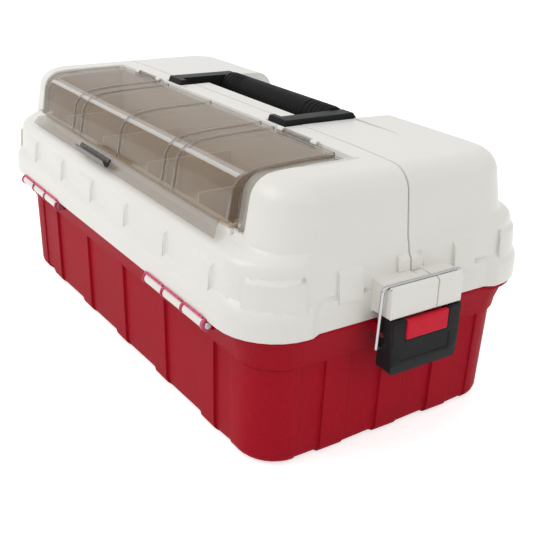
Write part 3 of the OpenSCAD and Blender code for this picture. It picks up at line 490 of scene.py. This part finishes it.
def rod(bm, a, b, radius, sides=24):
    """Adds a closed round bar between two points."""
    a, b = Vector(a), Vector(b)
    made = bmesh.ops.create_cone(
        bm, cap_ends=True, segments=sides, radius1=radius, radius2=radius,
        depth=(b - a).length,
    )
    turn = (b - a).to_track_quat("Z", "Y").to_matrix().to_4x4()
    middle = Matrix.Translation((a + b) / 2)
    bmesh.ops.transform(bm, matrix=middle @ turn, verts=made["verts"])


# ---- what a user may change ------------------------------------------------------


def colour_property(name, description, default):
    return bpy.props.FloatVectorProperty(
        name=name, description=description, subtype="COLOR", size=4, min=0.0, max=1.0,
        default=default,
    )


def length_property(name, description, default):
    return bpy.props.FloatProperty(
        name=name, description=description, subtype="DISTANCE", unit="LENGTH",
        default=default,
    )


class BoxColours(bpy.types.PropertyGroup):
    """Colours of the box's plastics and metal."""

    tub: colour_property("Tub", "Deep red of the tub", (0.372, 0.0065, 0.018, 1))
    lid: colour_property("Lid", "Pearl white of the lid halves", (0.845, 0.832, 0.788, 1))
    cover: colour_property("Cover", "Smoke tint of the clear cover", (0.20, 0.128, 0.066, 1))
    tab: colour_property("Snap tab", "Dark smoke of the cover's tab", (0.045, 0.033, 0.026, 1))
    tray_bin: colour_property("Bin", "Beige of the bin under the cover", (0.66, 0.54, 0.40, 1))
    black: colour_property(
        "Black parts", "Handle frame and latch levers", (0.014, 0.0145, 0.0155, 1)
    )
    grip: colour_property("Grip", "Rubber sleeve on the handle", (0.009, 0.009, 0.0095, 1))
    button: colour_property("Button", "Red press button of each latch", (0.64, 0.014, 0.036, 1))
    steel: colour_property(
        "Steel", "Wire bails, pins, rivets and link bars", (0.50, 0.505, 0.515, 1)
    )
    tray: colour_property("Trays", "Milky white of the trays", (0.78, 0.77, 0.73, 1))
    knuckle: colour_property(
        "Hinge strips", "Paler red of the strips above the hinges", (0.62, 0.05, 0.13, 1)
    )


class BoxSizes(bpy.types.PropertyGroup):
    """Rounding and trim sizes."""

    tub_edge: length_property("Tub edges", "Rounding of the tub's moulded edges", 0.0007)
    lid_edge: length_property("Lid edges", "Rounding of the lid's moulded edges", 0.0009)
    cover_edge: length_property("Cover edges", "Rounding of the clear cover's edges", 0.0004)
    tab_edge: length_property("Tab edges", "Rounding of the snap tab's edges", 0.0006)
    block_edge: length_property("Block edges", "Rounding of the catch blocks", 0.0018)
    panel_depth: length_property("Lever panel", "Depth of the panel in a lever's face", 0.0006)
    black_edge: length_property("Black edges", "Rounding of handle and lever edges", 0.0009)
    strip: length_property("Hinge strip", "Radius of the strip above the hinges", 0.001)


class StudioSettings(bpy.types.PropertyGroup):
    """Light and camera of the plain studio."""

    ambient: bpy.props.FloatProperty(
        name="Surrounding light", description="Strength of the even light from all round",
        default=0.68, min=0.0,
    )
    key: bpy.props.FloatProperty(
        name="Key light", description="Power of the large lamp above the front, in watts",
        default=14.0, min=0.0,
    )
    fill: bpy.props.FloatProperty(
        name="Fill light", description="Power of the lamp towards the right end, in watts",
        default=3.0, min=0.0,
    )
    lens: bpy.props.FloatProperty(
        name="Lens", description="Focal length for a 36 mm sensor, in millimetres",
        default=58.97, min=1.0,
    )


# ---- operators -------------------------------------------------------------------

RECIPES = {
    "tub": grained_tub, "lid": pearl_lid, "cover": smoke_clear, "tab": smoked_clip,
    "tray_bin": satin_bin, "black": black_satin, "grip": wrinkled_grip,
    "button": gloss_button, "steel": drawn_steel, "tray": tray_plastic,
    "knuckle": rosy_strip,
}
FINISHES = {}


def finish_of(key):
    """The finish for one of the box's colours, made once."""
    if key not in FINISHES:
        FINISHES[key] = RECIPES[key](tuple(getattr(bpy.context.scene.tackle_colours, key)))
    return FINISHES[key]


FINE_EDGE = 0.0004  # rounding of the bin, the buttons and the trays
KNUCKLE_ROOM = 0.0021  # between the middle of a ring and the end of a strip
PIN_END = 0.0020  # of the hinge pins, beyond the middle of the last ring
HEAD_R, HEAD_T = 0.0027, 0.0009  # radius and thickness of a hinge pin's head
STRIP_SIDES, STRIP_ROUNDING, HEAD_ROUNDING = 16, 0.4, 0.35  # roundings as shares
ROD_END_ANGLE = 60  # degrees, so that only the rims of a rod's ends are rounded
FACING = 0.999  # least share of a face's normal that points outwards
ON_FACE = 0.0001  # how far below a lever's outermost point its outer face may lie
PANEL_MARGIN = 0.001  # about the panel's top and middle


def outer_block_edge(edge):
    """The outward corners and the lower edges of the catch blocks."""
    ends = [v.co for v in edge.verts]
    if any(abs(c.x) < BLOCK_ROOT_X or not BLOCK_LOW <= c.z <= BLOCK_HIGH for c in ends):
        return False
    low = all(c.z < BLOCK_FOOT for c in ends)
    corner = all(abs(c.x) > BLOCK_CORNER_X and abs(c.y) > BLOCK_CORNER_Y for c in ends)
    return low or corner


def recess_panel(bm, side, depth):
    """Sinks a rectangular panel into the outer face of a lever."""

    def front():
        reach = max(v.co.x * side for v in bm.verts)
        return [
            f for f in bm.faces
            if f.normal.x * side > FACING
            and f.calc_center_median().x * side > reach - ON_FACE
        ]

    for place, across in (
        ((0, 0, PANEL_HIGH), (0, 0, 1)), ((0, 0, PANEL_LOW), (0, 0, 1)),
        ((0, -PANEL_Y, 0), (0, 1, 0)), ((0, PANEL_Y, 0), (0, 1, 0)),
    ):
        faces = [
            f for f in front() if min(v.co.z for v in f.verts) < PANEL_HIGH - PANEL_MARGIN
        ]
        rims = {e for f in faces for e in f.edges} | {v for f in faces for v in f.verts}
        bmesh.ops.bisect_plane(
            bm, geom=faces + list(rims), dist=TOUCHING, plane_co=place, plane_no=across
        )
    inside = [
        f for f in front()
        if abs(f.calc_center_median().y) < PANEL_MARGIN
        and PANEL_LOW < f.calc_center_median().z < PANEL_HIGH
    ]
    bmesh.ops.inset_individual(bm, faces=inside, thickness=depth, depth=-depth)


class TACKLE_OT_tub(bpy.types.Operator):
    """Red tub with softened ribs, collar and knuckles"""

    bl_idname = "tackle.tub"
    bl_label = "Tub"

    def execute(self, context):
        bm = merged_copy("base_tub")
        soften(bm, context.scene.tackle_sizes.tub_edge)
        finished("tub_body", bm, "base", finish_of("tub"), ["base_tub"])
        for side in SIDES:
            dress(f"hinge_pins_{side}", finish_of("steel"))
        return {"FINISHED"}


class TACKLE_OT_lids(bpy.types.Operator):
    """Both pearl-white lid halves with softened pads, lips and catch blocks"""

    bl_idname = "tackle.lids"
    bl_label = "Lid halves"

    def execute(self, context):
        sizes = context.scene.tackle_sizes
        for side in SIDES:
            bm = merged_copy(f"lid_{side}")
            soften(bm, sizes.block_edge, rounds=4, where=outer_block_edge)
            soften(bm, sizes.lid_edge)
            finished(f"lid_{side}_shell", bm, f"lid_{side}", finish_of("lid"),
                     [f"lid_{side}"])
        return {"FINISHED"}


class TACKLE_OT_hinge_trim(bpy.types.Operator):
    """Red strips above the lid hinges and the heads of their pins"""

    bl_idname = "tackle.hinge_trim"
    bl_label = "Hinge trim"

    def execute(self, context):
        radius = context.scene.tackle_sizes.strip
        last = KNUCKLE_X + (KNUCKLES - 1) * KNUCKLE_PITCH
        for side, s in SIDES.items():
            strips, heads = bmesh.new(), bmesh.new()
            for group in (-1, 1):
                for i in range(KNUCKLES - 1):
                    near = group * (KNUCKLE_X + i * KNUCKLE_PITCH)
                    far = group * (KNUCKLE_X + (i + 1) * KNUCKLE_PITCH)
                    a, b = min(near, far) + KNUCKLE_ROOM, max(near, far) - KNUCKLE_ROOM
                    rod(strips, (a, s * STRIP_Y, STRIP_Z), (b, s * STRIP_Y, STRIP_Z),
                        radius, STRIP_SIDES)
                x = (last if group > 0 else -KNUCKLE_X) + PIN_END
                rod(heads, (x, s * HINGE_Y, HINGE_Z), (x + HEAD_T, s * HINGE_Y, HINGE_Z),
                    HEAD_R)
            soften(strips, radius * STRIP_ROUNDING, angle=ROD_END_ANGLE)
            soften(heads, HEAD_T * HEAD_ROUNDING, angle=ROD_END_ANGLE)
            finished(f"hinge_strips_{side}", strips, f"lid_{side}", finish_of("knuckle"))
            finished(f"hinge_pin_heads_{side}", heads, "base", finish_of("steel"))
        return {"FINISHED"}


class TACKLE_OT_cover(bpy.types.Operator):
    """Smoky clear bubble cover with its snap tab and pins"""

    bl_idname = "tackle.cover"
    bl_label = "Bubble cover"

    def execute(self, context):
        sizes = context.scene.tackle_sizes
        bm = merged_copy("bubble_cover")
        soften(bm, sizes.cover_edge)
        finished("cover_bubble", bm, "cover", finish_of("cover"),
                 ["bubble_cover"])
        bm = merged_copy("cover_tab")
        soften(bm, sizes.tab_edge, rounds=3)
        finished("cover_tab_clip", bm, "cover", finish_of("tab"), ["cover_tab"])
        dress("cover_pins", finish_of("steel"))
        return {"FINISHED"}


class TACKLE_OT_bin(bpy.types.Operator):
    """Beige divided bin under the cover"""

    bl_idname = "tackle.bin"
    bl_label = "Bin"

    def execute(self, context):
        bm = merged_copy("lure_bin")
        soften(bm, FINE_EDGE)
        finished("bin_body", bm, "lid_front", finish_of("tray_bin"), ["lure_bin"])
        return {"FINISHED"}


class TACKLE_OT_handle(bpy.types.Operator):
    """Folding handle with its rubber grip"""

    bl_idname = "tackle.handle"
    bl_label = "Handle"

    def execute(self, context):
        bm = merged_copy("handle_frame")
        soften(bm, context.scene.tackle_sizes.black_edge)
        finished("handle_arms", bm, "handle", finish_of("black"),
                 ["handle_frame"])
        dress("grip_sleeve", finish_of("grip"))
        dress("handle_pins", finish_of("black"))
        return {"FINISHED"}


class TACKLE_OT_latches(bpy.types.Operator):
    """Draw latch on each end: lever, button, wire bail and pin"""

    bl_idname = "tackle.latches"
    bl_label = "Latches"

    def execute(self, context):
        sizes = context.scene.tackle_sizes
        for end, side in ENDS.items():
            bm = merged_copy(f"lever_{end}")
            soften(bm, sizes.black_edge)
            recess_panel(bm, side, sizes.panel_depth)
            finished(f"lever_{end}_plate", bm, f"lever_{end}", finish_of("black"),
                     [f"lever_{end}"])
            bm = merged_copy(f"button_{end}")
            soften(bm, FINE_EDGE)
            finished(f"button_{end}_press", bm, f"button_{end}", finish_of("button"),
                     [f"button_{end}"])
            dress(f"bail_{end}", finish_of("steel"))
            dress(f"lever_pin_{end}", finish_of("steel"))
        return {"FINISHED"}


class TACKLE_OT_trays(bpy.types.Operator):
    """Cantilever trays with dividers"""

    bl_idname = "tackle.trays"
    bl_label = "Trays"

    def execute(self, context):
        for side in SIDES:
            for part in ("tray", "tray_dividers"):
                bm = merged_copy(f"{part}_{side}")
                soften(bm, FINE_EDGE)
                finished(f"{part}_{side}_body", bm, f"tray_{side}", finish_of("tray"),
                         [f"{part}_{side}"])
        return {"FINISHED"}


class TACKLE_OT_linkage(bpy.types.Operator):
    """Steel link bars, rivets and pivots of the trays"""

    bl_idname = "tackle.linkage"
    bl_label = "Tray linkage"

    def execute(self, context):
        for side in SIDES:
            for part in ("link_bars", "tray_rivets", "link_pins", "lid_rivets"):
                dress(f"{part}_{side}", finish_of("steel"))
        return {"FINISHED"}


class TACKLE_OT_stage(bpy.types.Operator):
    """Plain pale floor, soft studio light and the photograph's camera"""

    bl_idname = "tackle.stage"
    bl_label = "Studio"

    def execute(self, context):
        scene, studio = context.scene, context.scene.tackle_studio
        scene.view_settings.view_transform = "Standard"
        light_room(scene, studio)
        lay_floor()
        scene.camera = aim_camera(studio)
        return {"FINISHED"}


LAMPS = (  # name, the setting of its power, width and place, in metres
    ("Key lamp", "key", 1.4, (-0.5, -1.5, 1.7)),
    ("Fill lamp", "fill", 1.2, (1.7, 0.3, 0.9)),
)
LAMP_TARGET = (0, 0, 0.1)
FLOOR_RADIUS, FLOOR_DROP = 3.0, 0.0004
FLOOR_GLOW = 0.62  # brings the floor to white in the camera's eyes

# The photograph's camera, solved from the box's rim and roof
CAMERA_AROUND, CAMERA_ABOVE, CAMERA_LEAN = 56.59, 21.30, 1.82  # degrees
CAMERA_PLACE = (0.66853, -0.41413, 0.39392)
CAMERA_SHIFT = (0.0208, -0.0632)
SENSOR_WIDTH = 36.0  # millimetres
CLIP_NEAR, CLIP_FAR = 0.02, 20.0


def light_room(scene, studio):
    """Sets up even light from all round, which the camera sees as white, and two lamps."""
    world = bpy.data.worlds.new("Studio")
    scene.world = world
    world.use_nodes = True
    tree = world.node_tree
    tree.nodes.clear()
    path = tree.nodes.new("ShaderNodeLightPath")
    seen = tree.nodes.new("ShaderNodeMath")
    seen.operation = "MAXIMUM"
    bright = tree.nodes.new("ShaderNodeMath")
    bright.operation = "MAXIMUM"
    level = tree.nodes.new("ShaderNodeMix")
    ground = tree.nodes.new("ShaderNodeBackground")
    output = tree.nodes.new("ShaderNodeOutputWorld")
    link = tree.links.new
    link(path.outputs["Is Camera Ray"], seen.inputs[0])
    link(path.outputs["Is Glossy Ray"], seen.inputs[1])
    link(seen.outputs[0], bright.inputs[0])
    link(path.outputs["Is Transmission Ray"], bright.inputs[1])
    link(bright.outputs[0], level.inputs[0])
    level.inputs[2].default_value = studio.ambient
    level.inputs[3].default_value = 1.0
    ground.inputs["Color"].default_value = (1, 1, 1, 1)
    link(level.outputs[0], ground.inputs["Strength"])
    link(ground.outputs[0], output.inputs["Surface"])
    for name, power, width, spot in LAMPS:
        lamp = bpy.data.lights.new(name, "AREA")
        lamp.energy, lamp.size = getattr(studio, power), width
        holder = bpy.data.objects.new(name, lamp)
        holder.location = spot
        back = Vector(spot) - Vector(LAMP_TARGET)
        holder.rotation_euler = back.to_track_quat("Z", "Y").to_euler()
        scene.collection.objects.link(holder)


def lay_floor():
    """Lays a pale floor that the camera sees as white, apart from the box's shadow."""
    bm = bmesh.new()
    bmesh.ops.create_circle(bm, cap_ends=True, segments=64, radius=FLOOR_RADIUS)
    bmesh.ops.translate(bm, verts=bm.verts, vec=(0, 0, -FLOOR_DROP))
    mesh = bpy.data.meshes.new("Floor")
    bm.to_mesh(mesh)
    bm.free()
    floor = bpy.data.objects.new("Floor", mesh)
    bpy.context.scene.collection.objects.link(floor)
    f = Finish("floor_pale", (0.86, 0.86, 0.86, 1), Roughness=0.9, Specular_IOR_Level=0.1)
    f.shader.inputs["Emission Strength"].default_value = 1.0
    seen = f.node("ShaderNodeLightPath", out="Is Camera Ray")
    for ray in ("Is Glossy Ray", "Is Transmission Ray"):
        seen = seen.math("MAXIMUM", f.node("ShaderNodeLightPath", out=ray))
    f.feed("Emission Color", seen * FLOOR_GLOW)
    mesh.materials.append(f.material)


def aim_camera(studio):
    """Makes the photograph's camera."""
    around, above, lean = map(math.radians, (CAMERA_AROUND, CAMERA_ABOVE, CAMERA_LEAN))
    back = Vector((math.sin(around) * math.cos(above), -math.cos(around) * math.cos(above),
                   math.sin(above)))
    right = Vector((math.cos(around), math.sin(around), 0))
    up = back.cross(right)
    right, up = (right * math.cos(lean) + up * math.sin(lean),
                 up * math.cos(lean) - right * math.sin(lean))
    data = bpy.data.cameras.new("Photo camera")
    data.lens, data.sensor_width = studio.lens, SENSOR_WIDTH
    data.shift_x, data.shift_y = CAMERA_SHIFT
    data.clip_start, data.clip_end = CLIP_NEAR, CLIP_FAR
    camera = bpy.data.objects.new("Photo camera", data)
    turn = Matrix((right, up, back)).transposed().to_4x4()
    camera.matrix_world = Matrix.Translation(CAMERA_PLACE) @ turn
    bpy.context.scene.collection.objects.link(camera)
    return camera


class TACKLE_PT_panel(bpy.types.Panel):
    """Lists the steps that dress the tackle box"""

    bl_idname = "TACKLE_PT_panel"
    bl_label = "Tackle Box"
    bl_space_type = "VIEW_3D"
    bl_region_type = "UI"
    bl_category = "Tackle Box"

    def draw(self, context):
        for step in STEPS:
            self.layout.operator(step.bl_idname)
        for group in (context.scene.tackle_colours, context.scene.tackle_sizes,
                      context.scene.tackle_studio):
            for key in type(group).__annotations__:
                self.layout.prop(group, key)


STEPS = (
    TACKLE_OT_tub, TACKLE_OT_lids, TACKLE_OT_hinge_trim, TACKLE_OT_cover, TACKLE_OT_bin,
    TACKLE_OT_handle, TACKLE_OT_latches, TACKLE_OT_trays, TACKLE_OT_linkage,
    TACKLE_OT_stage,
)
CLASSES = (BoxColours, BoxSizes, StudioSettings, *STEPS, TACKLE_PT_panel)


def register():
    for kind in CLASSES:
        bpy.utils.register_class(kind)
    bpy.types.Scene.tackle_colours = bpy.props.PointerProperty(type=BoxColours)
    bpy.types.Scene.tackle_sizes = bpy.props.PointerProperty(type=BoxSizes)
    bpy.types.Scene.tackle_studio = bpy.props.PointerProperty(type=StudioSettings)


def unregister():
    del bpy.types.Scene.tackle_colours
    del bpy.types.Scene.tackle_sizes
    del bpy.types.Scene.tackle_studio
    for kind in reversed(CLASSES):
        bpy.utils.unregister_class(kind)


def main():
    register()
    for step in STEPS:
        group, name = step.bl_idname.split(".")
        getattr(getattr(bpy.ops, group), name)()


if __name__ == "__main__":
    main()
